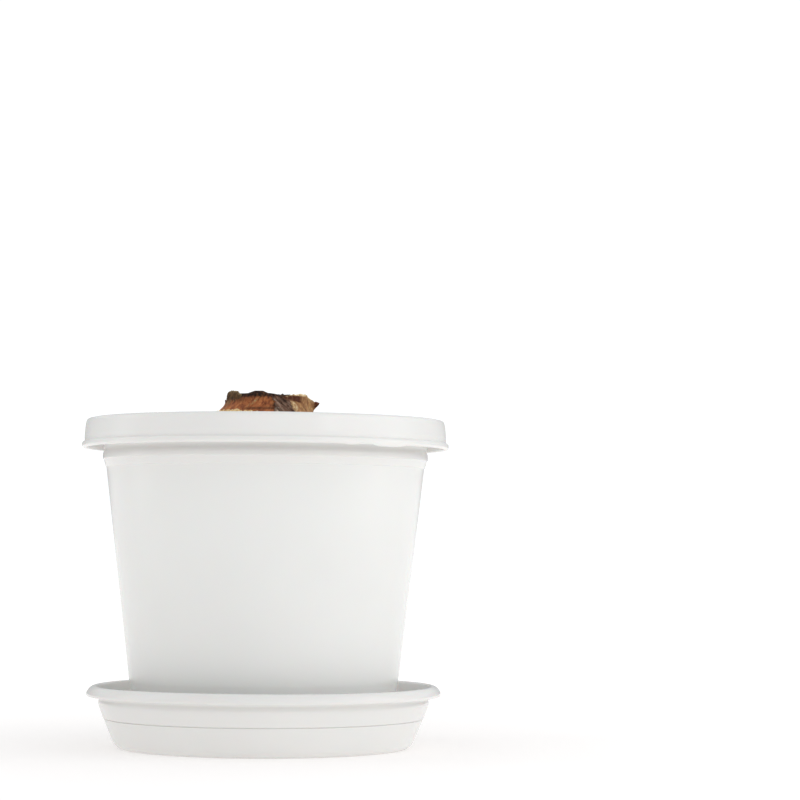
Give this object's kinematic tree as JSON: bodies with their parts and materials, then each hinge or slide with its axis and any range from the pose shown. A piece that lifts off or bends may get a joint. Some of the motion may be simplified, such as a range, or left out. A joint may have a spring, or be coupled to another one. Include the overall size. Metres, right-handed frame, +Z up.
{
  "type": "potted amaryllis bulb",
  "caption": "Dormant amaryllis bulb in a round tapered plastic pot with a turned-over rim, standing on its own drip saucer.",
  "frame": {"origin": "middle of the saucer's flat underside", "axes": "+Z up along the common axis of the pot and the saucer; the side that the picture shows faces -Y"},
  "size_m": [0.15, 0.15, 0.1459],
  "materials": {
    "white_plastic": "smooth moulded polypropylene, satin gloss",
    "compost": "loose peat and coir, matt, crumbly with fibres",
    "bulb_skin": "dry papery bulb skin with lengthwise veins",
    "red_brown_tunic": "dry papery scale, red-brown, matt with a faint sheen",
    "grey_tunic": "torn dry scale, purple-grey, matt",
    "tan_tunic": "thin veined dry scale, tan, slightly translucent",
    "dark_tunic": "shrivelled dark scale end, matt",
    "straw_tunic": "pale straw-coloured torn scale, thin and papery"
  },
  "bodies": {
    "root": {"saucer": "white_plastic", "pot": "white_plastic", "potting_medium": "compost", "amaryllis_bulb": "bulb_skin", "tunic_red_brown": "red_brown_tunic", "tunic_grey_torn": "grey_tunic", "tunic_tan_right": "tan_tunic", "tunic_curled_left": "dark_tunic", "tunic_straw_fringe": "straw_tunic"}
  },
  "joints": []
}
